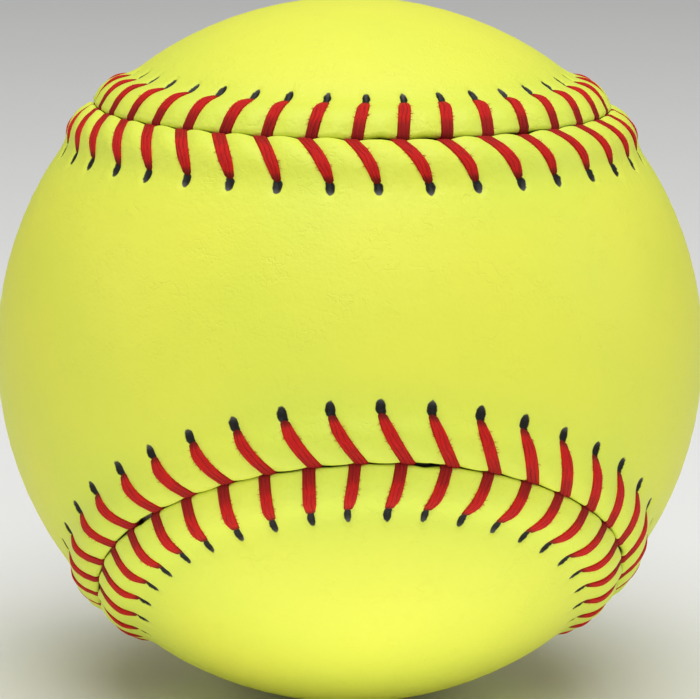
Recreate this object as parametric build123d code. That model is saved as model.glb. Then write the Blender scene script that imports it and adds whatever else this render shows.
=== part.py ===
from build123d import *
from build123d.topology import SkipClean
import math
import os
from collections import namedtuple

# Twelve-inch fast-pitch softball: a moulded core, two figure-eight cover panels cemented to it, and a
# raised seam sewn by the two-needle method. Millimetres, ball centre at the origin, +Z up, front at -Y.

# Ball
BALL_CIRCUMFERENCE = 304.8
COVER_THICKNESS = 1.3
CEMENT_THICKNESS = 0.2
FRONT_TIP = 20.0  # degrees that the front waist is tipped up from level

# Cover pattern, measured along the surface
WAIST_WIDTH = 43.5
STRAIGHT_RUN = 25.5

# Raised seam, each panel's edge standing up as a hump beside the groove
SEAM_GAP = 1.2
CREST_SETBACK = 3.3
CREST_HEIGHT = 1.0
CREST_RADIUS = 5.0
FOOT_RADIUS = 25.0

# Stitching
STITCHES_PER_QUARTER = 22
HOLE_SETBACK = 6.9
HOLE_WIDTH = 1.2
HOLE_LENGTH = 1.6
WAIST_LEAN_START = 1.5  # how far a hole trails its stitch's root, where a waist begins
WAIST_LEAN_END = 4.4
LOBE_LEAN = 1.9
ROOT_SPACING = 0.95  # between the two threads where they cross in the groove

# Thread, as wide and thick as each stretch presses it
THREAD_CLEARANCE = 0.12
LEG_WIDTH = 1.6
LEG_THICKNESS = 0.6
HOLE_THREAD_WIDTH = 0.9
GROOVE_THREAD_WIDTH = 0.6
GROOVE_THREAD_THICKNESS = 0.45
HIDDEN_WIDTH = 1.1
HIDDEN_THICKNESS = 0.3

# What follows from those sizes
BALL_RADIUS = BALL_CIRCUMFERENCE / (2 * math.pi)
COVER_INSIDE = BALL_RADIUS - COVER_THICKNESS
CORE_RADIUS = COVER_INSIDE - CEMENT_THICKNESS
WAIST_ANGLE = WAIST_WIDTH / 2 / BALL_RADIUS
RUN_ANGLE = STRAIGHT_RUN / BALL_RADIUS
LOBE_ANGLE = math.atan(
    (math.sqrt(2) * math.cos(RUN_ANGLE / 2) - math.sin(WAIST_ANGLE)) / math.cos(WAIST_ANGLE)
)
STITCHES = 4 * STITCHES_PER_QUARTER
FRONT, REAR = 1, -1  # which panel lies on a side of the seam

Segment = namedtuple("Segment", "axis radial heading angle start length turns_about")


def turned(vector, axis, angle):
    """A vector turned about an axis through the ball's centre, in radians."""
    return vector.rotate(Axis((0, 0, 0), axis), math.degrees(angle))


def lobe_arc_angle():
    """Half of the turn that the seam makes round one lobe, from its middle to the straight run.

    The run touches the lobe's circle and passes through the point midway between two lobes, so the
    lobe's centre, the touching point and that midway point make a right-angled spherical triangle.
    """
    tilt = WAIST_ANGLE + LOBE_ANGLE
    to_midway = math.acos(math.sin(tilt) / math.sqrt(2))
    touch = math.acos(math.tan(LOBE_ANGLE) / math.tan(to_midway))
    whole = math.atan2(1, -math.cos(tilt))
    return whole - touch


def seam_segments():
    """The seam as one closed walk: round a lobe, along a straight run, four times over.

    It starts before the front waist's upper edge, and every stretch is a circle about the centre.
    """
    half_turn = lobe_arc_angle()
    radial = Vector(0, -math.cos(WAIST_ANGLE), math.sin(WAIST_ANGLE))
    heading = Vector(-1, 0, 0)
    lobe = radial * math.cos(LOBE_ANGLE) - radial.cross(heading) * math.sin(LOBE_ANGLE)
    radial, heading = turned(radial, lobe, half_turn), turned(heading, lobe, half_turn)
    lobe_length = 2 * half_turn * math.sin(LOBE_ANGLE) * BALL_RADIUS
    walk = []
    start = -lobe_length / 2
    for turns_about in (REAR, FRONT, REAR, FRONT):
        side = radial.cross(heading) * turns_about
        axis = (radial * math.cos(LOBE_ANGLE) + side * math.sin(LOBE_ANGLE)) * turns_about
        walk.append(Segment(axis, radial, heading, 2 * half_turn, start, lobe_length, turns_about))
        radial, heading = turned(radial, axis, 2 * half_turn), turned(heading, axis, 2 * half_turn)
        start += lobe_length
        axis = radial.cross(heading)
        walk.append(Segment(axis, radial, heading, RUN_ANGLE, start, STRAIGHT_RUN, 0))
        radial, heading = turned(radial, axis, RUN_ANGLE), turned(heading, axis, RUN_ANGLE)
        start += STRAIGHT_RUN
    return walk


SEAM = seam_segments()
SEAM_START = SEAM[0].start
SEAM_LENGTH = SEAM[-1].start + SEAM[-1].length - SEAM_START
PITCH = SEAM_LENGTH / STITCHES


def seam_frame(along):
    """Outward and front-panel directions at a distance along the seam."""
    along = (along - SEAM_START) % SEAM_LENGTH + SEAM_START
    stretch = [s for s in SEAM if s.start <= along][-1]
    angle = stretch.angle * (along - stretch.start) / stretch.length
    radial = turned(stretch.radial, stretch.axis, angle)
    heading = turned(stretch.heading, stretch.axis, angle)
    return radial, radial.cross(heading)


def at(along, away, radius):
    """Point at a distance along the seam, a distance away towards the front panel, and a radius."""
    radial, side = seam_frame(along)
    angle = away / BALL_RADIUS
    return (radial * math.cos(angle) + side * math.sin(angle)) * radius


# The hump's section is two arcs, a crest and a hollow foot that runs out tangent to the ball
CREST_CENTRE = BALL_RADIUS + CREST_HEIGHT - CREST_RADIUS
CREST_ANGLE = CREST_SETBACK / BALL_RADIUS
FOOT_CENTRE = BALL_RADIUS + FOOT_RADIUS
FOOT_ANGLE = CREST_ANGLE + math.acos(
    (FOOT_CENTRE**2 + CREST_CENTRE**2 - (CREST_RADIUS + FOOT_RADIUS) ** 2)
    / (2 * FOOT_CENTRE * CREST_CENTRE)
)


def polar(radius, angle):
    """Point of a section through the ball's centre, by its radius and its angle from the seam."""
    return Vector(radius * math.sin(angle), radius * math.cos(angle))


CREST = polar(CREST_CENTRE, CREST_ANGLE)
FOOT = polar(FOOT_CENTRE, FOOT_ANGLE)
CREST_TO_FOOT = (FOOT - CREST).normalized()
OUTER_MEETING = CREST + CREST_TO_FOOT * CREST_RADIUS
OUTER_FOOT = polar(BALL_RADIUS, FOOT_ANGLE)
LIP_REACH = CREST.X - SEAM_GAP / 2
OUTER_LIP = Vector(SEAM_GAP / 2, CREST.Y + math.sqrt(CREST_RADIUS**2 - LIP_REACH**2))
INNER_LIP = CREST + (OUTER_LIP - CREST) * ((CREST_RADIUS - COVER_THICKNESS) / CREST_RADIUS)


def cover_radius(away, depth=0.0):
    """Radius of the hump's surface, or of a layer at a depth below it, at a distance from the seam."""
    angle = away / BALL_RADIUS
    if angle < math.atan2(OUTER_MEETING.X, OUTER_MEETING.Y):
        swing = angle - CREST_ANGLE
        reach = (CREST_RADIUS - depth) ** 2 - (CREST_CENTRE * math.sin(swing)) ** 2
        return CREST_CENTRE * math.cos(swing) + math.sqrt(reach)
    swing = angle - FOOT_ANGLE
    reach = (FOOT_RADIUS + depth) ** 2 - (FOOT_CENTRE * math.sin(swing)) ** 2
    return FOOT_CENTRE * math.cos(swing) - math.sqrt(reach)


def arc(centre, start, end):
    """Short arc about a centre."""
    middle = centre + ((start - centre) + (end - centre)).normalized() * (start - centre).length
    return ThreePointArc(start, middle, end)


def hump_section():
    """Section of a panel's raised edge, of one thickness, from the groove to the foot."""
    inner_meeting = CREST + CREST_TO_FOOT * (CREST_RADIUS - COVER_THICKNESS)
    inner_foot = polar(COVER_INSIDE, FOOT_ANGLE)
    inner_end = Vector(OUTER_FOOT.X, math.sqrt(COVER_INSIDE**2 - OUTER_FOOT.X**2))
    return make_face(
        [
            arc(CREST, OUTER_LIP, OUTER_MEETING),
            arc(FOOT, OUTER_MEETING, OUTER_FOOT),
            Line(OUTER_FOOT, inner_end),
            arc(Vector(0, 0), inner_end, inner_foot),
            arc(FOOT, inner_foot, inner_meeting),
            arc(CREST, inner_meeting, INNER_LIP),
            Line(INNER_LIP, OUTER_LIP),
        ]
    )


def strip_section(inside, outside):
    """Section of a square-sided strip along the seam, as wide as the two humps, that cuts right
    through a layer of the ball."""
    low = math.sqrt(inside**2 - OUTER_FOOT.X**2) - COVER_THICKNESS
    high = outside + COVER_THICKNESS
    corners = [(-OUTER_FOOT.X, low), (OUTER_FOOT.X, low), (OUTER_FOOT.X, high), (-OUTER_FOOT.X, high)]
    return make_face(Polyline(*corners, close=True))


def along_seam(section, panel):
    """The section carried round the whole seam, on one panel's side, as one solid per stretch."""
    solids = []
    for stretch in SEAM:
        side = stretch.radial.cross(stretch.heading) * panel
        plane = Plane((0, 0, 0), x_dir=side, z_dir=side.cross(stretch.radial))
        axis = Axis((0, 0, 0), stretch.axis)
        solids.append(revolve(plane * section, axis=axis, revolution_arc=math.degrees(stretch.angle)))
    return solids


def layer(inside, outside):
    """A layer of the ball clear of the raised seam, as its front and rear figure-eights."""
    strips = along_seam(strip_section(inside, outside), FRONT)
    pieces = (Sphere(outside) - Sphere(inside) - strips).solids()
    front, rear = sorted(pieces, key=lambda piece: piece.center(CenterOf.MASS).Y)
    return {FRONT: front, REAR: rear}


def lean(along, panel):
    """How far a stitch's hole trails its root: even on a lobe, growing along a waist."""
    along = (along - SEAM_START) % SEAM_LENGTH + SEAM_START
    index = [i for i, s in enumerate(SEAM) if s.start <= along][-1]
    stretch = SEAM[index]
    share = (along - stretch.start) / stretch.length
    if stretch.turns_about:
        ends = (LOBE_LEAN, LOBE_LEAN) if stretch.turns_about == panel else (WAIST_LEAN_START, WAIST_LEAN_END)
    else:
        leaves_lobe = SEAM[index - 1].turns_about == panel
        ends = (LOBE_LEAN, WAIST_LEAN_START) if leaves_lobe else (WAIST_LEAN_END, LOBE_LEAN)
    return ends[0] + share * (ends[1] - ends[0])


def root(stitch):
    """Place along the seam where a stitch's two legs meet in the groove."""
    return (stitch + 0.5) * PITCH


def hole_place(stitch, panel):
    """Place along the seam of a stitch's hole in a panel."""
    return root(stitch) - lean(root(stitch), panel)


def awl_hole(stitch, panel):
    """Tool for one punched hole: an oval of six flats, square to the ball, through the cover."""
    radial, side = seam_frame(hole_place(stitch, panel))
    angle = panel * HOLE_SETBACK / BALL_RADIUS
    outward = radial * math.cos(angle) + side * math.sin(angle)
    across = side * math.cos(angle) - radial * math.sin(angle)
    plane = Plane(outward * CORE_RADIUS, x_dir=across, z_dir=outward)
    long, wide = HOLE_LENGTH / 2, HOLE_WIDTH / 2
    half = [(long, 0), (long / 2, wide), (-long / 2, wide)]
    other_half = [(-x, -y) for x, y in half]
    outline = make_face(Polyline(*half, *other_half, close=True))
    depth = CEMENT_THICKNESS + COVER_THICKNESS + CREST_HEIGHT + COVER_THICKNESS
    return extrude(plane * outline, amount=depth, dir=outward)


def cover_panel(panel, plain):
    """One panel: its plain figure-eight, and its raised edge with a row of punched holes.

    Faces that run on smoothly are left apart, because merging them breaks the ball's sphere.
    """
    with SkipClean():
        stretches = along_seam(hump_section(), panel)
        edge = stretches[0].fuse(*stretches[1:])
        punched = edge - [awl_hole(stitch, panel) for stitch in range(STITCHES)]
        return plain.fuse(punched)


def stitch_route(stitch, panel):
    """One stitch of a thread, as stations (along, away, radius, width, thickness): up the hole, over
    the hump, down the groove and under the other panel, towards that panel's next hole."""
    hole = hole_place(stitch, panel)
    meeting = root(stitch) + panel * ROOT_SPACING / 2
    lift = THREAD_CLEARANCE + LEG_THICKNESS / 2

    def over(away, width, thickness=LEG_THICKNESS):
        along = meeting + (hole - meeting) * away / HOLE_SETBACK
        return along, panel * away, cover_radius(away, -lift), width, thickness

    brow = (HOLE_SETBACK + CREST_SETBACK) / 2
    shoulder = (CREST_SETBACK + SEAM_GAP / 2) / 2
    lip = CREST + (OUTER_LIP - CREST) * ((CREST_RADIUS + lift) / CREST_RADIUS)
    lip_away = math.atan2(lip.X, lip.Y) * BALL_RADIUS
    under_hole = (CORE_RADIUS + cover_radius(HOLE_SETBACK, COVER_THICKNESS)) / 2
    under_lip = (CORE_RADIUS + INNER_LIP.length) / 2
    halfway = (meeting + hole_place(stitch + 1, -panel)) / 2
    return [
        (hole, panel * HOLE_SETBACK, under_hole, HOLE_THREAD_WIDTH, HIDDEN_THICKNESS),
        over(HOLE_SETBACK, HOLE_THREAD_WIDTH),
        over(brow, LEG_WIDTH),
        over(CREST_SETBACK, LEG_WIDTH),
        over(shoulder, LEG_WIDTH),
        over(lip_away, GROOVE_THREAD_WIDTH, GROOVE_THREAD_THICKNESS),
        (meeting, 0, under_lip, GROOVE_THREAD_WIDTH, HIDDEN_THICKNESS),
        (halfway, -panel * CREST_SETBACK, under_lip, HIDDEN_WIDTH, HIDDEN_THICKNESS),
    ]


def thread_section(before, here, after, sewing, width, thickness):
    """Corners of the thread's flattened section, in the plane that halves its turn at a point.

    Its flat side keeps to the way of sewing, so it lies even on the hump however the leg slants.
    """
    leaving = (after - here).normalized()
    forward = ((here - before).normalized() + leaving).normalized()
    slant = forward.cross(here).normalized().dot(sewing)
    flat = sewing * (width / 2 / abs(slant))
    up = flat.cross(forward).normalized() * (thickness / 2 / forward.dot(leaving))
    return [here + flat + up, here - flat + up, here - flat - up, here + flat - up]


def skin(sections):
    """Closed solid through sections of as many corners, with a ruled face between each pair of edges."""
    faces = [Face(Wire.make_polygon(end, close=True)) for end in (sections[0], sections[-1])]
    for near, far in zip(sections, sections[1:]):
        for corner in range(len(near)):
            near_edge = Edge.make_line(near[corner - 1], near[corner])
            far_edge = Edge.make_line(far[corner - 1], far[corner])
            faces.append(Face.make_surface_from_curves(near_edge, far_edge))
    return Solid(Shell(faces))


def needle_thread(first_panel):
    """One needle's thread, unbroken, which sews the two panels by turns right round the seam."""
    route = []
    for stitch in range(STITCHES):
        panel = first_panel if stitch % 2 == 0 else -first_panel
        route += stitch_route(stitch, panel)
    points = [at(along, away, radius) for along, away, radius, _, _ in route]
    before = [points[0] * 2 - points[1]] + points[:-1]
    after = points[1:] + [points[-1] * 2 - points[-2]]
    sections = []
    for near, here, far, (along, _, _, width, thickness) in zip(before, points, after, route):
        radial, side = seam_frame(along)
        sections.append(thread_section(near, here, far, side.cross(radial), width, thickness))
    return skin(sections)


def softball():
    """Every piece of the ball by name, in the seam's own frame."""
    cement = layer(CORE_RADIUS, COVER_INSIDE)
    cover = layer(COVER_INSIDE, BALL_RADIUS)
    return {
        "core": Sphere(CORE_RADIUS),
        "front_cement_film": cement[FRONT],
        "rear_cement_film": cement[REAR],
        "front_cover_panel": cover_panel(FRONT, cover[FRONT]),
        "rear_cover_panel": cover_panel(REAR, cover[REAR]),
        "first_needle_thread": needle_thread(FRONT),
        "second_needle_thread": needle_thread(REAR),
    }


os.makedirs("parts", exist_ok=True)
for name, piece in softball().items():
    export_step(Rot(X=-FRONT_TIP) * piece, f"parts/{name}.step")
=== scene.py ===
import math

import bpy
import numpy as np
from mathutils import Matrix, Vector


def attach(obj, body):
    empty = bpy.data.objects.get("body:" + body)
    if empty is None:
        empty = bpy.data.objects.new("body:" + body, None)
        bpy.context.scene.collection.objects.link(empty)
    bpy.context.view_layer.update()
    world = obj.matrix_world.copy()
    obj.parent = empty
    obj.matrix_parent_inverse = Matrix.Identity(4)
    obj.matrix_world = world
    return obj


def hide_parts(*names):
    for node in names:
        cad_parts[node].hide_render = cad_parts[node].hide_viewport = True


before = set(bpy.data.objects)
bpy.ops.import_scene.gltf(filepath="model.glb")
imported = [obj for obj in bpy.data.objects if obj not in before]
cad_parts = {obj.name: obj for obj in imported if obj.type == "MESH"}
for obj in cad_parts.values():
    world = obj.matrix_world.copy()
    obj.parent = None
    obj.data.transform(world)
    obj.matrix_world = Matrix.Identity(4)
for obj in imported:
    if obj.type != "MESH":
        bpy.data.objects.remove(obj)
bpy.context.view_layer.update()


# Core: one ball of polyurethane foam, cast in a two-part mould, so it is matt and finely pitted.
# It fills the cover and shows only as a shadow at the bottom of the seam's groove.
class Field:
    """A value that varies over a surface. Arithmetic on it adds Math nodes to its node tree."""

    def __init__(self, tree, socket=None):
        self.tree = tree
        self.socket = socket

    def node(self, kind, settings, inputs, output=0):
        """Any node: its settings first, then a value or link for each input, by name or number."""
        made = self.tree.nodes.new(kind)
        for name, value in settings.items():
            setattr(made, name, value)
        for name, value in inputs.items():
            if isinstance(value, Field):
                self.tree.links.new(value.socket, made.inputs[name])
            else:
                made.inputs[name].default_value = value
        return Field(self.tree, made.outputs[output])

    def math(self, operation, *others):
        """A Math node's operation on this value and the others, in that order."""
        operands = dict(enumerate((self, *others)))
        return self.node("ShaderNodeMath", {"operation": operation}, operands)

    # Each operator is the Math node of its name
    def __add__(self, other):
        return self.math("ADD", other)

    def __sub__(self, other):
        return self.math("SUBTRACT", other)

    def __rsub__(self, other):
        """other - self, as self times -1 plus other."""
        return self.math("MULTIPLY_ADD", -1.0, other)

    def __mul__(self, other):
        return self.math("MULTIPLY", other)

    def __truediv__(self, other):
        return self.math("DIVIDE", other)

    def __pow__(self, other):
        return self.math("POWER", other)

    __radd__ = __add__
    __rmul__ = __mul__

    def rise(self, low, high):
        """0 below low, 1 above high, and a smooth step between; falls where low is above high."""
        ends = {"Value": self, "From Min": low, "From Max": high}
        return self.node("ShaderNodeMapRange", {"interpolation_type": "SMOOTHSTEP"}, ends)

    def noise(self, size, detail=2.0):
        """Cloudy pattern, about 0.5 on average, with features of a size in metres."""
        inputs = {"Vector": self, "Scale": 1 / size, "Detail": detail}
        return self.node("ShaderNodeTexNoise", {}, inputs)

    def tint(self, low, high):
        """Colour between two, low where this value is 0 and high where it is 1."""
        inputs = {0: self, 6: low, 7: high}
        return self.node("ShaderNodeMix", {"data_type": "RGBA"}, inputs, output=2)

    def bump(self, height, under=None):
        """Normal of this value taken as a relief of a height in metres, over another normal."""
        inputs = {"Height": self, "Distance": height}
        if under is not None:
            inputs["Normal"] = under
        return self.node("ShaderNodeBump", {}, inputs)


def material(name):
    """A new material, with an empty field to start its nodes from, and its object coordinates."""
    made = bpy.data.materials.new(name)
    made.use_nodes = True
    made.node_tree.nodes.clear()
    start = Field(made.node_tree)
    return made, start, start.node("ShaderNodeTexCoord", {}, {}, output="Object")


def finish_material(start, **inputs):
    """Joins the inputs, named with _ for a space, to a principled surface, and it to the output."""
    named = {name.replace("_", " "): value for name, value in inputs.items()}
    surface = start.node("ShaderNodeBsdfPrincipled", {}, named)
    output = start.tree.nodes.new("ShaderNodeOutputMaterial")
    start.tree.links.new(surface.socket, output.inputs["Surface"])


CORE_CREAM = (0.72, 0.67, 0.54, 1)
# The foam is painted darker in its pits, as painted shade in their hollows
CORE_PIT_SHADE = (0.5, 0.45, 0.34, 1)
PIT_SIZE, PIT_DETAIL, PIT_DEPTH = 0.0009, 4.0, 0.0002
PIT_EDGES = 0.35, 0.6
FOAM_ROUGHNESS, PIT_ROUGHNESS = 0.78, 0.15

core_foam, start, place = material("core_foam")
pits = place.noise(PIT_SIZE, PIT_DETAIL)
finish_material(
    start,
    Base_Color=pits.rise(*PIT_EDGES).tint(CORE_PIT_SHADE, CORE_CREAM),
    Roughness=FOAM_ROUGHNESS + PIT_ROUGHNESS * pits,
    Normal=pits.bump(PIT_DEPTH),
)
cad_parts["core"].data.materials.clear()
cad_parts["core"].data.materials.append(core_foam)


# Cement: a film of latex brushed on the underside of each panel. It holds the cover down on the
# core, stops short of the sewn edge, and cures to a dull tan with streaks from the brush.
CEMENT_TAN = (0.62, 0.5, 0.28, 1)
CEMENT_PALE = (0.74, 0.66, 0.44, 1)
STREAK_SIZE, STREAK_DEPTH = 0.003, 0.0001
STREAK_EDGES = 0.3, 0.7
BRUSH_DRAW = (1, 0.15, 1)  # streaks are drawn out along Y, the way the brush went
LATEX_ROUGHNESS, STREAK_ROUGHNESS = 0.45, 0.3

latex_cement, start, place = material("latex_cement")
brushed = place.node("ShaderNodeMapping", {}, {"Vector": place, "Scale": BRUSH_DRAW})
streaks = brushed.noise(STREAK_SIZE)
finish_material(
    start,
    Base_Color=streaks.rise(*STREAK_EDGES).tint(CEMENT_TAN, CEMENT_PALE),
    Roughness=LATEX_ROUGHNESS + STREAK_ROUGHNESS * streaks,
    Normal=streaks.bump(STREAK_DEPTH),
)
for film in ("front_cement_film", "rear_cement_film"):
    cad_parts[film].data.materials.clear()
    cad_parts[film].data.materials.append(latex_cement)


# Cover panels: two like figure-eights cut from synthetic leather, one with its waist at the front
# and the other at the back. Their edges are turned up side by side into a raised seam, which the
# thread pinches into a row of pillows, and are punched with a hole for every stitch.
CIRCUMFERENCE = 0.3048
BALL_RADIUS = CIRCUMFERENCE / (2 * math.pi)
FRONT_TIP = math.radians(20)  # how far up from level the front waist lies
COVER_THICKNESS = 0.0013
WAIST_WIDTH = 0.0435
STRAIGHT_RUN = 0.0255
WAIST_ANGLE = WAIST_WIDTH / 2 / BALL_RADIUS
RUN_ANGLE = STRAIGHT_RUN / BALL_RADIUS
# The lobes' angular radius, at which a run of that length just touches a lobe at each end
LOBE_ANGLE = math.atan(
    (math.sqrt(2) * math.cos(RUN_ANGLE / 2) - math.sin(WAIST_ANGLE)) / math.cos(WAIST_ANGLE)
)
FRONT, REAR = 1, -1  # signs of the panels' sides of the seam
TIPPED = np.array(Matrix.Rotation(-FRONT_TIP, 3, "X"))


def turned(vectors, axes, angles):
    """Vectors turned about axes through the ball's centre: the cosine's share of each, the sine's
    share of its cross product with the axis, and the rest of its part on the axis."""
    cos, sin = np.cos(angles)[..., None], np.sin(angles)[..., None]
    on_axis = axes * (axes * vectors).sum(-1, keepdims=True)
    return vectors * cos + np.cross(axes, vectors) * sin + on_axis * (1 - cos)


def seam_stretches():
    """The closed seam as eight arcs about the ball's centre, four lobes and four straight runs.

    A run touches a lobe's circle and passes midway between two lobes, so the lobe's centre, the
    touching point and the midway point make a right-angled spherical triangle, which gives half
    of a lobe's turn. Gives each arc's axis, outward and sewing directions at its start, angle,
    place along the seam and length.
    """
    tilt = WAIST_ANGLE + LOBE_ANGLE
    to_midway = math.acos(math.sin(tilt) / math.sqrt(2))
    half_turn = math.atan2(1, -math.cos(tilt))
    half_turn -= math.acos(math.tan(LOBE_ANGLE) / math.tan(to_midway))
    lobe_length = 2 * half_turn * math.sin(LOBE_ANGLE) * BALL_RADIUS
    radial = np.array([0, -math.cos(WAIST_ANGLE), math.sin(WAIST_ANGLE)])
    heading = np.array([-1.0, 0, 0])
    lobe = radial * math.cos(LOBE_ANGLE) - np.cross(radial, heading) * math.sin(LOBE_ANGLE)
    back = np.array(half_turn)
    radial, heading = turned(radial, lobe, back), turned(heading, lobe, back)
    start = -lobe_length / 2
    walk = []
    for turns_about in (REAR, FRONT, REAR, FRONT):
        side = np.cross(radial, heading)
        lobe = radial * turns_about * math.cos(LOBE_ANGLE) + side * math.sin(LOBE_ANGLE)
        walk.append((lobe, radial, heading, 2 * half_turn, start, lobe_length))
        sweep = np.array(2 * half_turn)
        radial, heading = turned(radial, lobe, sweep), turned(heading, lobe, sweep)
        start += lobe_length
        side = np.cross(radial, heading)
        walk.append((side, radial, heading, RUN_ANGLE, start, STRAIGHT_RUN))
        sweep = np.array(RUN_ANGLE)
        radial, heading = turned(radial, side, sweep), turned(heading, side, sweep)
        start += STRAIGHT_RUN
    return [np.array(values) for values in zip(*walk)]


ARC_AXIS, ARC_RADIAL, ARC_HEADING, ARC_ANGLE, ARC_START, ARC_LENGTH = seam_stretches()
SEAM_LENGTH = ARC_LENGTH.sum()


def seam_frame(along):
    """Outward and front-panel directions at distances along the seam: those at the start of the
    arc there, turned about its axis by the share of its angle that the distance has covered."""
    along = (along - ARC_START[0]) % SEAM_LENGTH + ARC_START[0]
    arc = np.searchsorted(ARC_START, along, side="right") - 1
    angle = ARC_ANGLE[arc] * (along - ARC_START[arc]) / ARC_LENGTH[arc]
    radial = turned(ARC_RADIAL[arc], ARC_AXIS[arc], angle)
    heading = turned(ARC_HEADING[arc], ARC_AXIS[arc], angle)
    return radial @ TIPPED.T, np.cross(radial, heading) @ TIPPED.T


def facing(along, away):
    """Directions from the ball's centre at distances along the seam and away to the front panel:
    the outward one there, turned to the front panel by the distance away over the radius."""
    radial, side = seam_frame(along)
    angle = (away / BALL_RADIUS)[..., None]
    return radial * np.cos(angle) + side * np.sin(angle)


def seam_ramp(along, front_values, rear_values, panel):
    """A panel's value along the seam, in straight ramps between those at the stretches' starts."""
    front = np.interp(along, ARC_START, front_values, period=SEAM_LENGTH)
    rear = np.interp(along, ARC_START, rear_values, period=SEAM_LENGTH)
    return np.where(panel == FRONT, front, rear)


# A panel's stitches slant more and more along its waist, and bow from the groove to their holes.
# The lean is how far a hole trails its stitch's place in the groove, and the bow a share of it.
STITCHES = 88
PITCH = SEAM_LENGTH / STITCHES
HOLE_SETBACK = 0.0069
ROOT_SPACING = 0.00095  # between the two panels' stitches where they pass in the groove
WAIST_LEAN_START, WAIST_LEAN_END, LOBE_LEAN = 0.0015, 0.0044, 0.0019
WAIST_BOW, LOBE_BOW = 0.45, -0.35
HAND_LEAN = 0.00025  # how unevenly a hand places the holes
hand = np.random.default_rng(12)
uneven_lean = {panel: hand.uniform(-1, 1, STITCHES) for panel in (FRONT, REAR)}
uneven_width = hand.uniform(-1, 1, STITCHES)


def stitch_line(root, away, panel):
    """Place along the seam of a stitch, at a distance away: from the groove back to its hole,
    which trails by the lean, on a parabola that bows by the bow's share of the lean."""
    waist, lobe = [WAIST_LEAN_START, WAIST_LEAN_END], [LOBE_LEAN, LOBE_LEAN]
    lean = seam_ramp(root, 2 * (waist + lobe), 2 * (lobe + waist), panel)
    sewn = (np.arange(STITCHES) + 0.5) * PITCH
    front = np.interp(root, sewn, uneven_lean[FRONT], period=SEAM_LENGTH)
    rear = np.interp(root, sewn, uneven_lean[REAR], period=SEAM_LENGTH)
    lean = lean + HAND_LEAN * np.where(panel == FRONT, front, rear)
    waist, lobe = [WAIST_BOW, WAIST_BOW], [LOBE_BOW, LOBE_BOW]
    bow = seam_ramp(root, 2 * (waist + lobe), 2 * (lobe + waist), panel)
    share = np.clip(away / HOLE_SETBACK, 0, 1)
    share = share + bow * share * (1 - share)
    return root + panel * ROOT_SPACING / 2 * (1 - share) - lean * share


# The raised edge across the seam: a round crest, and a hollow foot whose circle touches both the
# crest's circle and the ball. They meet on the line through the two circles' centres.
CREST_SETBACK = 0.0033
CREST_RADIUS = 0.005
LIP_SIDE_RADIUS = 0.0066  # flatter towards the groove, where the two edges push each other up
CREST_HEIGHT = 0.00122
CREST_CENTRE = BALL_RADIUS + CREST_HEIGHT - CREST_RADIUS
CREST_ANGLE = CREST_SETBACK / BALL_RADIUS
FOOT_RADIUS = 0.025
FOOT_CENTRE = BALL_RADIUS + FOOT_RADIUS
FOOT_ANGLE = CREST_ANGLE + math.acos(
    (FOOT_CENTRE**2 + CREST_CENTRE**2 - (CREST_RADIUS + FOOT_RADIUS) ** 2)
    / (2 * FOOT_CENTRE * CREST_CENTRE)
)
FOOT_AWAY = FOOT_ANGLE * BALL_RADIUS
MEETING_SHARE = CREST_RADIUS / (CREST_RADIUS + FOOT_RADIUS)
MEETING_AWAY = BALL_RADIUS * math.atan2(
    CREST_CENTRE * math.sin(CREST_ANGLE) * (1 - MEETING_SHARE)
    + FOOT_CENTRE * math.sin(FOOT_ANGLE) * MEETING_SHARE,
    CREST_CENTRE * math.cos(CREST_ANGLE) * (1 - MEETING_SHARE)
    + FOOT_CENTRE * math.cos(FOOT_ANGLE) * MEETING_SHARE,
)
# What the stitches press into that edge, with the distances from the groove where it fades out
PILLOW_HEIGHT = 0.0005
PILLOW_SINK = 0.4  # share of the height by which the stitches pull a pillow's ends below the edge
PILLOW_FULL, PILLOW_END = 0.0008, 0.0055
PINCH_DEPTH = 0.00026
PINCH_WIDTH = 0.0010
PINCH_FULL, PINCH_END = 0.006, 0.0072
DIMPLE_DEPTH = 0.0006
TUCK_DEPTH = 0.00028
TUCK_WIDTH = 0.0022
HOLE_HALF_WIDTH = 0.0006
HOLE_HALF_LENGTH = 0.00115
HOLE_BEHIND_THREAD = 0.0003
HOLE_CENTRE = HOLE_SETBACK + HOLE_BEHIND_THREAD


def smooth(value, low, high):
    """0 below low, 1 above high and a smooth step between, three times the share's square less
    twice its cube; falls where low is above high."""
    share = np.clip((value - low) / (high - low), 0, 1)
    return share * share * (3 - 2 * share)


def hump_radius(away, depth=0.0):
    """Distance from the ball's centre to the raised edge, or to a depth under it: out to the
    crest's circle, wider on the groove's side, then to the foot's hollow one, then the ball."""
    bend = np.where(away < CREST_SETBACK, LIP_SIDE_RADIUS, CREST_RADIUS)
    centre = CREST_CENTRE + CREST_RADIUS - bend
    swing = away / BALL_RADIUS - CREST_ANGLE
    reach = np.maximum((bend - depth) ** 2 - (centre * np.sin(swing)) ** 2, 0)
    crest = centre * np.cos(swing) + np.sqrt(reach)
    swing = np.minimum(away / BALL_RADIUS - FOOT_ANGLE, 0)
    reach = np.maximum((FOOT_RADIUS + depth) ** 2 - (FOOT_CENTRE * np.sin(swing)) ** 2, 0)
    foot = FOOT_CENTRE * np.cos(swing) - np.sqrt(reach)
    return np.where(away < MEETING_AWAY, crest, foot)


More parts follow.
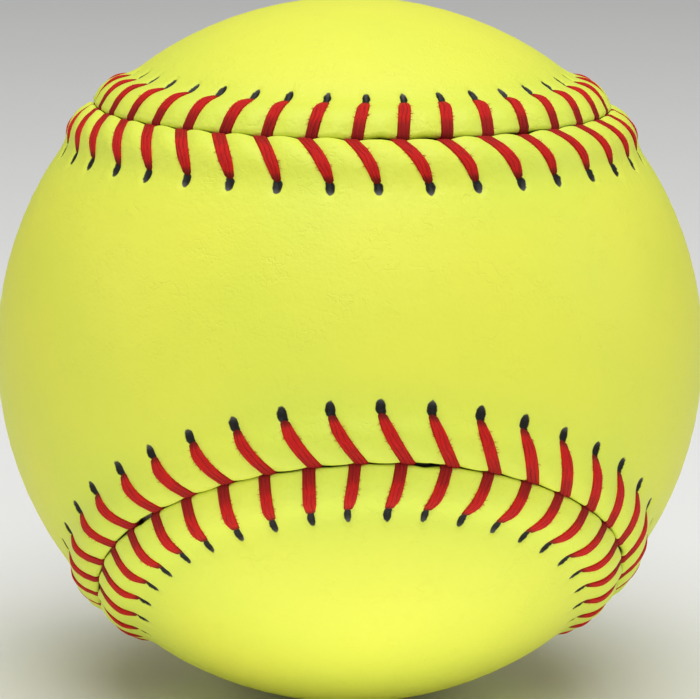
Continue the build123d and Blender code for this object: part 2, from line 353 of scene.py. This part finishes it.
def stitch_relief(phase, away):
    """Height that the stitches give the leather: sine-squared pillows between them by the groove,
    a bell-shaped crease under each leg, a bell-shaped trough where they tuck it in along the
    holes, and a dimple round each hole. phase counts stitches, whole on a stitch's line."""
    off_line = (phase - np.round(phase)) * PITCH
    pillow = np.sin(np.pi * phase) ** 2 - PILLOW_SINK
    pillow = pillow * smooth(away, PILLOW_END, PILLOW_FULL)
    crease = np.exp(-((off_line / PINCH_WIDTH) ** 2)) * smooth(away, PINCH_END, PINCH_FULL)
    tuck = np.exp(-(((away - HOLE_SETBACK) / TUCK_WIDTH) ** 2))
    oval = (off_line / HOLE_HALF_WIDTH) ** 2 + ((away - HOLE_CENTRE) / HOLE_HALF_LENGTH) ** 2
    pressed = PINCH_DEPTH * crease + TUCK_DEPTH * tuck + DIMPLE_DEPTH * np.exp(-oval)
    return PILLOW_HEIGHT * pillow - pressed


# The edges roll down into the groove and nearly touch there, but stand open in a few places
LIP_RADIUS = 0.00045
LIP_GAP = 0.00003
LIP_WANDER = 0.00004
LEAST_GAP = 0.00001
LIP_SPREAD = 0.00012  # the thread holds the lips this much further apart
GAPING_SHARE, GAPING = 0.12, 8  # share of places that stand open, and how far, in wanders
lips = np.random.default_rng(3145)
uneven_gap = GAPING * (lips.random(2 * STITCHES) < GAPING_SHARE)
uneven_gap = uneven_gap + lips.uniform(-1, 1, 2 * STITCHES)


def lip_gap(phase):
    """Half of the groove's width: uneven twice in every stitch, with straight ramps between, and
    wider by a bell-shaped spread where a thread goes down."""
    off_line = (phase - np.round(phase)) * PITCH
    loose = np.interp(phase, np.arange(2 * STITCHES) / 2, uneven_gap, period=STITCHES)
    spread = LIP_SPREAD * np.exp(-((off_line / PINCH_WIDTH) ** 2))
    return np.maximum(LIP_GAP + LIP_WANDER * loose, LEAST_GAP) + spread


def lip_round(phase, turn, lift=0.0):
    """Distance away and drop of the rolled edge, a quarter circle from the groove's wall at a turn
    of 0 to the hump's top at a quarter turn, or of a line lifted off it."""
    away = lip_gap(phase) + LIP_RADIUS - (LIP_RADIUS + lift) * np.cos(turn)
    return away, LIP_RADIUS - (LIP_RADIUS + lift) * np.sin(turn) + 0 * away


SPINE_REACH = math.pi - WAIST_ANGLE - LOBE_ANGLE  # from a waist's middle to a lobe's centre
# Arcs whose starts are a panel's lobes' starts and ends, and the way to those lobes from its waist
LOBE_ARCS = {FRONT: [2, 3, 6, 7], REAR: [0, 1, 4, 5]}
LOBE_SIDES = {FRONT: [-1, -1, 1, 1], REAR: [1, 1, -1, -1]}


def spine(root, panel):
    """Directions to the line down a panel's middle, where the columns from its two edges meet. It
    stays at a lobe's centre round the lobe, and goes evenly to the other's along the waist."""
    ends = ARC_START[LOBE_ARCS[panel]]
    reach = SPINE_REACH * np.interp(root, ends, LOBE_SIDES[panel], period=SEAM_LENGTH)
    level = np.zeros_like(reach)
    if panel == FRONT:
        line = [np.sin(reach), -np.cos(reach), level]
    else:
        line = [level, np.cos(reach), np.sin(reach)]
    return np.stack(line, axis=-1) @ TIPPED.T


LEAST_ANGLE = 1e-9


def between(near, far, share):
    """Directions part of the way round from near to far, on the great circle through both: the
    sine of each one's share of the angle between them, over the sine of the whole angle."""
    angle = np.arccos(np.clip((near * far).sum(-1, keepdims=True), -1, 1))
    angle = np.maximum(angle, LEAST_ANGLE)
    return (near * np.sin((1 - share) * angle) + far * np.sin(share * angle)) / np.sin(angle)


# Columns along a panel and rows across it, by their distance from the groove, its wall's depth or
# their share of the way from the hump's foot to the panel's middle: close together over the holes
COLUMNS_PER_STITCH = 18
INSIDE_ROWS = np.array([[FOOT_AWAY, 0.0078, 0.0055, CREST_SETBACK, 0.0018, 0.0012]])
WALL_DEPTHS = np.array([[0.0011, 0.0005]])
ROUND_ROWS = np.radians(np.linspace(0, 90, 7))[None, :]
HUMP_ROWS, HOLE_ROWS = np.linspace(0.0018, 0.0057, 10), np.linspace(0.0059, 0.0084, 11)
FOOT_ROWS = [0.0088, 0.0093, FOOT_AWAY]
INNER_SHARES = np.array([1, 0.75, 0.5, 0.25])
OUTER_SHARES = np.array([0.08, 0.18, 0.3, 0.42, 0.54, 0.66, 0.78, 0.9, 1.0])


def panel_surface(panel):
    """A panel as a closed sheet of columns across the seam: out along its inside from the middle
    to the groove, up over the rolled lip and the hump, and back to the middle. Gives its points,
    and for each the stitch count along and the distance away."""
    column = np.arange(STITCHES * COLUMNS_PER_STITCH)
    phase = (column / COLUMNS_PER_STITCH)[:, None]
    root = (phase + 0.5) * PITCH
    foot = np.array([[FOOT_AWAY]])
    middle = spine(root, panel)

    def sheet_rows(away, radius):
        """Points on the stitches' lines, at distances away and at radii."""
        place = stitch_line(root, away, panel)
        return facing(place, panel * away) * radius[..., None]

    def inner_rows(share, radius):
        """Points at a radius, at shares of the way from the hump's foot to the middle."""
        edge = facing(stitch_line(root, foot, panel), panel * foot)
        return between(edge, middle, share[None, :, None]) * radius

    inside = INSIDE_ROWS + 0 * phase
    round_away, round_drop = lip_round(phase, ROUND_ROWS)
    top = np.concatenate([HUMP_ROWS, HOLE_ROWS, FOOT_ROWS])[None, :] + 0 * phase
    outer = np.concatenate([lip_gap(phase) + 0 * WALL_DEPTHS, round_away, top], axis=1)
    drop = np.concatenate([LIP_RADIUS + WALL_DEPTHS + 0 * phase, round_drop, 0 * top], axis=1)
    height = hump_radius(outer) - drop + stitch_relief(phase, outer)
    blocks = [
        inner_rows(INNER_SHARES, BALL_RADIUS - COVER_THICKNESS),
        sheet_rows(inside, hump_radius(inside, COVER_THICKNESS)),
        sheet_rows(outer, height),
        inner_rows(OUTER_SHARES, BALL_RADIUS),
    ]
    hidden = np.full((1, len(INNER_SHARES) + inside.shape[1]), -FOOT_AWAY) + 0 * phase
    beyond = FOOT_AWAY * (1 + OUTER_SHARES)[None, :] + 0 * phase
    away = np.concatenate([hidden, outer - drop, beyond], axis=1)
    return np.concatenate(blocks, axis=1), phase + 0 * away, away


def closed_faces(columns, rows):
    """Corners of the quads of a grid of columns that closes from its last column to its first."""
    column = np.arange(columns)[:, None] * rows
    here = column + np.arange(rows - 1)[None, :]
    after = np.roll(column, -1, axis=0) + np.arange(rows - 1)[None, :]
    return np.stack([here, after, after + 1, here + 1], axis=-1).reshape(-1, 4)


MERGED_DIGITS = 7  # of a place in metres: points that agree in these are one


def piece(name, points, quads, finish, pattern):
    """A smooth piece from points and quads, its coincident points merged, quads with one closed
    side made triangles and those that close to a line left out. pattern gives two coordinates
    for every quad's corners, which its finish reads."""
    rounded = np.round(points, MERGED_DIGITS)
    _, first, merged = np.unique(rounded, axis=0, return_index=True, return_inverse=True)
    corners = merged.reshape(-1)[quads]
    same = corners == np.roll(corners, -1, axis=1)
    whole = same.sum(axis=1) == 0
    pinched = same.sum(axis=1) == 1
    triangles = corners[pinched][~same[pinched]].reshape(-1, 3)
    mesh = bpy.data.meshes.new(name)
    mesh.from_pydata(points[first], [], corners[whole].tolist() + triangles.tolist())
    layer = mesh.uv_layers.new(name="stitching")
    laid = [pattern[whole].reshape(-1, 2), pattern[pinched][~same[pinched]].reshape(-1, 2)]
    layer.uv.foreach_set("vector", np.concatenate(laid).astype(np.float32).ravel())
    mesh.shade_smooth()
    mesh.materials.append(finish)
    made = bpy.data.objects.new(name, mesh)
    bpy.context.collection.objects.link(made)
    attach(made, "root")
    return made


def laid_coordinates(start):
    """The two coordinates of a piece's pattern, the parts of its UV map."""
    laid = start.node("ShaderNodeUVMap", {"uv_map": "stitching"}, {})
    return [laid.node("ShaderNodeSeparateXYZ", {}, {"Vector": laid}, output=axis) for axis in "XY"]


OPTIC_YELLOW = (0.79, 0.812, 0.077, 1)
GREEN_SHADE_AND_TONE = (0.675, 0.775, 0.08, 1)
# Painted shade and painted highlight of the holes: dark, and grey towards their far end
HOLE_SHADE_DARK = (0.006, 0.006, 0.005, 1)
HOLE_HIGHLIGHT_GREY = (0.13, 0.13, 0.11, 1)
# Painted shade down the groove's walls
GROOVE_SHADE = (0.02, 0.022, 0.01, 1)
PATTERN_UNIT = 0.001  # the pattern counts distances from the groove in millimetres
GRAIN_SIZE, GRAIN_DETAIL, GRAIN_DEPTH = 0.0005, 3.0, 0.00005
CREASE_SIZE, CREASE_DETAIL, CREASE_DEPTH = 0.002, 3.0, 0.00003
PUCKER_SIZE, PUCKER_DEPTH = 0.0013, 0.00013
WRINKLE_SIZE, WRINKLE_DEPTH = 0.0045, 0.00016
CLOUD_SIZE, CLOUD_DETAIL = 0.02, 1.0
PUCKER_FADE = 0.016, 0.006  # distances from the groove
CREASE_EDGES, CREASED_PATCHES = (0.0, 0.04), (0.45, 0.65)
HOLE_RAG = 0.4  # how much the noise pulls a hole's edge about
HOLE_EDGE = 1.12, 0.92
HOLE_MOTTLE, HOLE_HIGHLIGHT_EDGES = 2.0, (1.3, 2.6)
# Painted shade: the leather is painted greener towards the seam, by the first share and over the
# first fade
SEAM_SHADE_SHARE, SEAM_SHADE_FADE, CLOUD_EDGES = 0.6, (0.015, 0.004), (0.7, 0.3)
GROOVE_WANDER, GROOVE_SHADE_FADE = 0.0012, (-0.0001, -0.0006)
LEATHER_ROUGHNESS, GRAIN_ROUGHNESS, LEATHER_GLOSS = 0.44, 0.12, 0.3

yellow_cover, start, place = material("yellow_cover")
stitch_count, away = laid_coordinates(start)
away = away * PATTERN_UNIT
grain = place.noise(GRAIN_SIZE, GRAIN_DETAIL)
pucker = place.noise(PUCKER_SIZE) * away.rise(*PUCKER_FADE)
wrinkle = place.noise(WRINKLE_SIZE)
# Fine creases run where their noise crosses its middle, in the patches that the wrinkles raise
crease = (place.noise(CREASE_SIZE, CREASE_DETAIL) - 0.5).math("ABSOLUTE").rise(*CREASE_EDGES)
crease = 1 - (1 - crease) * wrinkle.rise(*CREASED_PATCHES)
# A hole is painted as a ragged dark oval about its centre on a stitch's line, painted shade for its
# depth, with a painted grey highlight towards its far end, where light would reach its wall
off_line = ((stitch_count + 0.5).math("FRACT") - 0.5) * PITCH
past_centre = (away - HOLE_CENTRE) / HOLE_HALF_LENGTH
oval = ((off_line / HOLE_HALF_WIDTH) ** 2.0 + past_centre ** 2.0) ** 0.5
ragged = 1 - HOLE_RAG + HOLE_RAG * place.noise(GRAIN_SIZE) + HOLE_RAG * place.noise(PITCH)
hole = (oval * ragged).rise(*HOLE_EDGE)
hole_highlight = (past_centre + HOLE_MOTTLE * place.noise(PITCH)).rise(*HOLE_HIGHLIGHT_EDGES)
# The leather is painted greener towards the seam, as painted shade for the hump's shaded faces, and
# greener in chance clouds; it is painted dark down the groove's walls, as painted shade
clouds = place.noise(CLOUD_SIZE, CLOUD_DETAIL).rise(*CLOUD_EDGES)
seam_shade_and_clouds = SEAM_SHADE_SHARE * away.rise(*SEAM_SHADE_FADE) + (1 - SEAM_SHADE_SHARE) * clouds
leather = seam_shade_and_clouds.tint(OPTIC_YELLOW, GREEN_SHADE_AND_TONE)
painted_holes = hole.tint(leather, hole_highlight.tint(HOLE_SHADE_DARK, HOLE_HIGHLIGHT_GREY))
# Painted shade: the leather is painted dark down the groove's walls, below its rolled edges
groove = away + GROOVE_WANDER * (place.noise(CLOUD_SIZE) - 0.5)
soft_relief = pucker.bump(PUCKER_DEPTH, wrinkle.bump(WRINKLE_DEPTH))
finish_material(
    start,
    Base_Color=groove.rise(*GROOVE_SHADE_FADE).tint(painted_holes, GROOVE_SHADE),
    Roughness=LEATHER_ROUGHNESS + GRAIN_ROUGHNESS * grain,
    Specular_IOR_Level=LEATHER_GLOSS,
    Normal=grain.bump(GRAIN_DEPTH, crease.bump(CREASE_DEPTH, soft_relief)),
)

for panel, node in ((FRONT, "front_cover_panel"), (REAR, "rear_cover_panel")):
    points, stitch, away = panel_surface(panel)
    columns, rows = stitch.shape
    quads = closed_faces(columns, rows)
    laid = np.stack([stitch, away / PATTERN_UNIT], axis=-1).reshape(-1, 2)[quads]
    laid[-(rows - 1):, 1:3, 0] = STITCHES  # the last quads close on the first column, a turn on
    if panel == REAR:
        quads, laid = quads[:, ::-1], laid[:, ::-1]
    name = node.replace("cover", "leather")
    cover = piece(name, points.reshape(-1, 3), quads, yellow_cover, laid)
    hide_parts(node)


# Sewing thread: two lengths of waxed red cotton, one on each needle, which sew the panels by turns.
# A stitch comes up its hole, crosses the hump pressed flat, goes down the groove past the other
# needle's stitch, and runs on under the other panel to that one's next hole.
LEG_WIDTH = 0.0017
LEG_THICKNESS = 0.00055
LEG_SEAT = 0.4  # share of its thickness by which a leg's middle stands off the leather
MOUTH_WIDTH = 0.0012
BURIED_WIDTH = 0.0009
BURIED_THICKNESS = 0.0003
HAND_WIDTH = 0.08  # how unevenly a hand pulls the stitches flat
# Stations of a stitch: up its hole's mouth, over the leg, round the lip and under the other panel
MOUTH_INSET = 0.0004
MOUTH_AWAY = HOLE_SETBACK - MOUTH_INSET
MOUTH_DEPTH = 0.0002
LEG_INSET = 0.0003
LEG_END = 0.0019
LEG_STATIONS = 11
LIP_TURNS = [75, 50, 25, 0]
UNDER_AWAY = np.array([0, -0.0012, -CREST_SETBACK])
UNDER_SHARE = np.array([0, 0.12, 0.5])
UNDER_LIFT = np.array([0.0004, 0, 0])
# How far through the leg a station is: 0 at its start, 1 in the groove, and beyond both ends
MOUTH_THROUGH, UNDER_THROUGH = [-0.3, -0.1], [1.2, 1.4, 1.6]
SWELLS, NARROWS, BURIED = (-0.05, 0.3), (1.25, 1.0), 1.1
# The rear panel's stitches take the thread's painted shade sooner, as if further through, for the
# shade of the front's edge
REAR_SHADE_SHIFT, REAR_SHADE_FADE = 0.1, (0.3, 0.8)


def thread_route(first_panel):
    """Stations of one thread, stitch by stitch: places along the seam, away from it and outwards,
    with the thread's width and thickness and how far through the visible leg it is. It comes up
    the hole, lies on the hump and round the lip, then drops and runs straight on to under the
    next hole. It swells by smooth steps from the mouth's width to the leg's, and back again."""
    stitch = np.arange(STITCHES)[:, None]
    panel = np.where(stitch % 2 == 0, first_panel, -first_panel)
    root = (stitch + 0.5) * PITCH
    ahead = root + PITCH
    lift = LEG_SEAT * LEG_THICKNESS
    low = BALL_RADIUS - COVER_THICKNESS - BURIED_THICKNESS / 2

    hole = MOUTH_AWAY + 0 * root
    leg = np.linspace(MOUTH_AWAY - LEG_INSET, LEG_END, LEG_STATIONS) + 0 * root
    lip, lip_drop = lip_round(stitch, np.radians(LIP_TURNS), lift)
    out = np.concatenate([hole, leg, lip], axis=1)
    raised = np.concatenate([0 * hole - MOUTH_DEPTH, lift + 0 * leg, -lip_drop], axis=1)
    seen = stitch_line(root, np.maximum(out, 0), panel)
    height = hump_radius(np.maximum(out, LIP_GAP)) + stitch_relief(stitch, out) + raised

    groove = stitch_line(root, 0 * root, panel)
    onward = stitch_line(ahead, hole, -panel) - groove
    run = np.concatenate([seen[:, :1], seen, groove + UNDER_SHARE * onward], axis=1)
    signed = panel * np.concatenate([hole, out, UNDER_AWAY + 0 * root], axis=1)
    radius = np.concatenate([low + 0 * root, height, low + UNDER_LIFT + 0 * root], axis=1)
    through = np.linspace(0, 1, LEG_STATIONS + len(LIP_TURNS))
    through = np.concatenate([MOUTH_THROUGH, through, UNDER_THROUGH]) + 0 * root
    swell = smooth(through, *SWELLS) * smooth(through, *NARROWS)
    width = MOUTH_WIDTH + (LEG_WIDTH - MOUTH_WIDTH) * swell
    width = width * (1 + HAND_WIDTH * uneven_width[:, None])
    width = np.where(through > BURIED, BURIED_WIDTH, width)
    thickness = BURIED_THICKNESS + (LEG_THICKNESS - BURIED_THICKNESS) * swell
    # Painted shade: rear stations count as further through only so that the thread's painted shade
    # darkens them sooner
    through = through + REAR_SHADE_SHIFT * (panel == REAR) * smooth(through, *REAR_SHADE_FADE)
    return run, signed, radius, width, thickness, through


RING = 28
EDGE_POWER, FLAT_POWER = 0.8, 0.7  # under 1, they square off the ring
STRANDS = 3
STRAND_RELIEF = 0.2
STRAND_WANDER, WANDER_TURN = 0.15, 0.9  # in strands, and in radians from station to station
LEAST_SLANT = 0.5


def thread_surface(first_panel):
    """One thread as a flattened ring of strands carried along its closed route: powers of the
    cosine and sine across and up. Its flat side keeps to the way of sewing, widened where the
    thread slants to it, and the strands stand out as half sines that wander a little across."""
    route = [stations.reshape(-1) for stations in thread_route(first_panel)]
    run, signed, radius, width, thickness, through = route
    here = facing(run, signed) * radius[:, None]
    forward = np.roll(here, -1, axis=0) - np.roll(here, 1, axis=0)
    forward /= np.linalg.norm(forward, axis=1, keepdims=True)
    radial, side = seam_frame(run)
    sewing = np.cross(side, radial)
    square = np.cross(forward, here)
    square /= np.linalg.norm(square, axis=1, keepdims=True)
    slant = np.maximum(np.abs((square * sewing).sum(axis=1)), LEAST_SLANT)
    up = np.cross(sewing, forward)
    up /= np.linalg.norm(up, axis=1, keepdims=True)

    turn = np.linspace(0, 2 * np.pi, RING, endpoint=False)[None, :]
    across = np.sign(np.cos(turn)) * np.abs(np.cos(turn)) ** EDGE_POWER
    station = np.arange(len(run))[:, None]
    strand = STRANDS / 2 * (across + 1) + STRAND_WANDER * np.sin(WANDER_TURN * station)
    rise = np.sign(np.sin(turn)) * np.abs(np.sin(turn)) ** FLAT_POWER
    rise = rise * (1 - STRAND_RELIEF + STRAND_RELIEF * np.abs(np.sin(np.pi * strand)))
    half_width, half_thickness = (width / 2 / slant)[:, None], (thickness / 2)[:, None]
    points = here[:, None, :] + (half_width * across)[..., None] * sewing[:, None, :]
    points = points + (half_thickness * rise)[..., None] * up[:, None, :]
    return points, strand, through[:, None] + 0 * turn


THREAD_RED = (0.6, 0.009, 0.006, 1)
# The deep red serves both the fibres' darker tone and the thread's painted shade
THREAD_DARK_AND_SHADE = (0.16, 0.005, 0.004, 1)
FIBRES_ACROSS, FIBRES_THROUGH = 4.0, 4.0  # noise units to a strand, and to a leg's length
FIBRE_UNITS = (300, 300, 300)  # noise units to a metre, so that no two stitches are alike
FIBRE_DETAIL, FIBRE_DEPTH, STRAND_DEPTH = 4.0, 0.0002, 0.00008
# Painted shade between the strands, by this share
STRAND_SHADE, STRAND_EDGES = 0.4, (0.0, 0.6)
FIBRE_LEAST, FIBRE_CONTRAST, FIBRE_EDGES = 0.55, 0.9, (0.25, 0.75)
# Painted shade where the thread goes down into its hole and into the groove
THREAD_SHADE_DEPTH, MOUTH_SHADE_FADE, GROOVE_THREAD_SHADE_FADE = 0.85, (0.13, 0.0), (0.55, 1.0)
COTTON_ROUGHNESS, FIBRE_ROUGHNESS, WAX_GLOSS = 0.6, 0.2, 0.2

red_thread, start, place = material("red_thread")
strand, through = laid_coordinates(start)
# The fibres' noise follows the thread, in strands across and legs along, and shifts with the place
laid = {"X": strand * FIBRES_ACROSS, "Y": through * FIBRES_THROUGH}
shifted = {0: place, 1: FIBRE_UNITS, 2: start.node("ShaderNodeCombineXYZ", {}, laid)}
lain = start.node("ShaderNodeVectorMath", {"operation": "MULTIPLY_ADD"}, shifted)
fibre = lain.noise(1.0, FIBRE_DETAIL)
# The thread's colour varies at random along its fibres, and is painted shade between its strands
# and where it goes down into the hole and the groove
strand_round = (strand * math.pi).math("SINE").math("ABSOLUTE")
tone_and_shade = 1 - STRAND_SHADE + STRAND_SHADE * strand_round.rise(*STRAND_EDGES)
tone_and_shade = tone_and_shade * (FIBRE_LEAST + FIBRE_CONTRAST * fibre.rise(*FIBRE_EDGES))
thread_shade = through.rise(*MOUTH_SHADE_FADE) + through.rise(*GROOVE_THREAD_SHADE_FADE)
tone_and_shade = tone_and_shade * (1 - THREAD_SHADE_DEPTH * thread_shade)
finish_material(
    start,
    Base_Color=tone_and_shade.tint(THREAD_DARK_AND_SHADE, THREAD_RED),
    Roughness=COTTON_ROUGHNESS + FIBRE_ROUGHNESS * fibre,
    Specular_IOR_Level=WAX_GLOSS,
    Normal=fibre.bump(FIBRE_DEPTH, strand_round.bump(STRAND_DEPTH)),
)

sewn_rings = {}
for needle, first_panel in (("first", FRONT), ("second", REAR)):
    points, strand, through = thread_surface(first_panel)
    sewn_rings[needle] = points
    closed = [np.concatenate([ring, ring[:, :1]], axis=1) for ring in (points, strand, through)]
    points, strand, through = closed
    quads = closed_faces(len(points), RING + 1)
    laid = np.stack([strand, through], axis=-1).reshape(-1, 2)[quads]
    sewn = piece(f"{needle}_red_thread", points.reshape(-1, 3), quads, red_thread, laid)
    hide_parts(f"{needle}_needle_thread")


# Thread fuzz: ends of cotton fibres that work loose from each thread. They stand off the edges of
# its stitches as short fine hairs, and soften their outline on the yellow leather.
FIBRES_PER_STITCH = 18
FUZZY_STATIONS = 3, 15  # of a stitch's stations, those on its visible leg
FIBRE_LENGTH = 0.0006
SHORTEST_FIBRE = 0.4  # as a share of that length
FIBRE_WIDTH = 0.00004
FIBRE_SWEEP, FIBRE_LIFT = 1.2, 0.6  # most that a fibre leans along the thread and up, for 1 out
FIBRE_ROOT = 2  # widths that it starts inside the thread
FUZZ_LAID = 0.5  # the fuzz takes the thread's colour at the middle of a strand and of a leg
NEEDLE_SIDES = np.array([[0, 1, 3, 3], [1, 2, 3, 3], [2, 0, 3, 3]])
loose = np.random.default_rng(88)


def loose_fibres(points):
    """Short hairs that stand off the two edges of each stitch: thin three-sided needles, each
    rooted at a chance place on an edge, and pointing out with a chance share of up and of either
    way along the thread."""
    stations = len(points) // STITCHES
    count = STITCHES * FIBRES_PER_STITCH
    station = np.arange(count) // FIBRES_PER_STITCH * stations
    station = station + loose.integers(*FUZZY_STATIONS, count)
    edge = loose.integers(0, 2, count) * (RING // 2)
    along = points[station + 1, edge] - points[station, edge]
    base = points[station, edge] + along * loose.random((count, 1))
    along /= np.linalg.norm(along, axis=1, keepdims=True)
    out = points[station, edge] - points[station, (edge + RING // 2) % RING]
    out /= np.linalg.norm(out, axis=1, keepdims=True)
    up = base / np.linalg.norm(base, axis=1, keepdims=True)
    lie = out + along * loose.uniform(-FIBRE_SWEEP, FIBRE_SWEEP, (count, 1))
    lie = lie + up * loose.uniform(0, FIBRE_LIFT, (count, 1))
    lie /= np.linalg.norm(lie, axis=1, keepdims=True)
    tip = base + lie * FIBRE_LENGTH * loose.uniform(SHORTEST_FIBRE, 1, (count, 1))
    base = base - out * FIBRE_WIDTH * FIBRE_ROOT
    square = np.cross(lie, up)
    rim = [base + square * FIBRE_WIDTH, base + up * FIBRE_WIDTH, base - square * FIBRE_WIDTH]
    needles = np.stack(rim + [tip], axis=1)
    corners = np.arange(count)[:, None, None] * needles.shape[1] + NEEDLE_SIDES
    return needles.reshape(-1, 3), corners.reshape(-1, 4)


for needle, points in sewn_rings.items():
    fuzz_points, fuzz_faces = loose_fibres(points)
    laid = np.full((len(fuzz_faces), 4, 2), FUZZ_LAID)
    fuzz = piece(f"{needle}_thread_fuzz", fuzz_points, fuzz_faces, red_thread, laid)


# Studio: a plain pale floor under the ball, soft lamps overhead, in front, at both sides and low
# before it, facing up, and the camera where the photograph's perspective puts it, a little above
# level and close to two thirds of a metre away.
FLOOR_SIZE = 3.0
FLOOR_PALE, FLOOR_BRIGHT = (0.82, 0.82, 0.81, 1), (0.84, 0.84, 0.83, 1)
FLOOR_MOTTLE, FLOOR_ROUGHNESS = 0.05, 0.9

floor_paint, start, place = material("floor_paint")
floor_tint = place.noise(FLOOR_MOTTLE).tint(FLOOR_PALE, FLOOR_BRIGHT)
finish_material(start, Base_Color=floor_tint, Roughness=FLOOR_ROUGHNESS)
edge = FLOOR_SIZE / 2
floor_mesh = bpy.data.meshes.new("floor")
corners = [(-edge, -edge), (edge, -edge), (edge, edge), (-edge, edge)]
floor_mesh.from_pydata([(x, y, -BALL_RADIUS) for x, y in corners], [], [(0, 1, 2, 3)])
floor_mesh.materials.append(floor_paint)
floor = bpy.data.objects.new("floor", floor_mesh)
bpy.context.collection.objects.link(floor)


def soft_light(name, place, target, size, watts):
    """A square soft lamp at a place, turned so that its own Z axis points away from its target."""
    data = bpy.data.lights.new(name, "AREA")
    data.size = size
    data.energy = watts
    lamp = bpy.data.objects.new(name, data)
    lamp.visible_camera = False
    bpy.context.collection.objects.link(lamp)
    facing_back = (Vector(place) - Vector(target)).to_track_quat("Z", "Y")
    lamp.matrix_world = Matrix.Translation(place) @ facing_back.to_matrix().to_4x4()


BALL_CENTRE = (0, 0, 0)
soft_light("overhead", place=(0, -0.15, 0.85), target=BALL_CENTRE, size=0.9, watts=7.3)
soft_light("key", place=(0, -0.75, 0.65), target=BALL_CENTRE, size=0.45, watts=1.8)
soft_light("left_side", place=(-0.95, -0.05, 0.32), target=BALL_CENTRE, size=0.45, watts=1.2)
soft_light("right_side", place=(0.95, -0.05, 0.32), target=BALL_CENTRE, size=0.45, watts=1.4)
soft_light("low_front", place=(0, -0.095, -0.048), target=(0, -0.095, 0), size=0.12, watts=0.031)

# The backdrop looks pale to the camera and lights the ball less than that
WHITE = (1, 1, 1, 1)
ROOM_LIGHT, BACKDROP_PALE = 0.2, 0.85
world = bpy.data.worlds.new("studio")
bpy.context.scene.world = world
world.use_nodes = True
seen = Field(world.node_tree).node("ShaderNodeLightPath", {}, {}, output="Is Camera Ray")
backdrop = world.node_tree.nodes["Background"]
backdrop.inputs["Color"].default_value = WHITE
strength = ROOM_LIGHT + (BACKDROP_PALE - ROOM_LIGHT) * seen
world.node_tree.links.new(strength.socket, backdrop.inputs["Strength"])

# The turns bring the ball, in their order and in degrees, before a level camera that looks along Y.
# Taken backwards, they bring that camera round the ball.
CAMERA_DISTANCE = 13.5 * BALL_RADIUS
CAMERA_LENS = 244.3
CAMERA_TURN = [("X", 20.0), ("Z", 5.082), ("X", -8.196), ("Y", -0.966)]
LEVEL_CAMERA = Matrix(((1, 0, 0), (0, 0, -1), (0, 1, 0)))
turn = Matrix.Identity(3)
for axis, degrees in CAMERA_TURN:
    turn = Matrix.Rotation(math.radians(degrees), 3, axis) @ turn
view = (turn.transposed() @ LEVEL_CAMERA).to_4x4()
view.translation = turn.transposed() @ Vector((0, -CAMERA_DISTANCE, 0))
camera_data = bpy.data.cameras.new("camera")
camera_data.lens = CAMERA_LENS
camera = bpy.data.objects.new("camera", camera_data)
bpy.context.collection.objects.link(camera)
camera.matrix_world = view
bpy.context.scene.camera = camera
bpy.context.scene.view_settings.view_transform = "Standard"
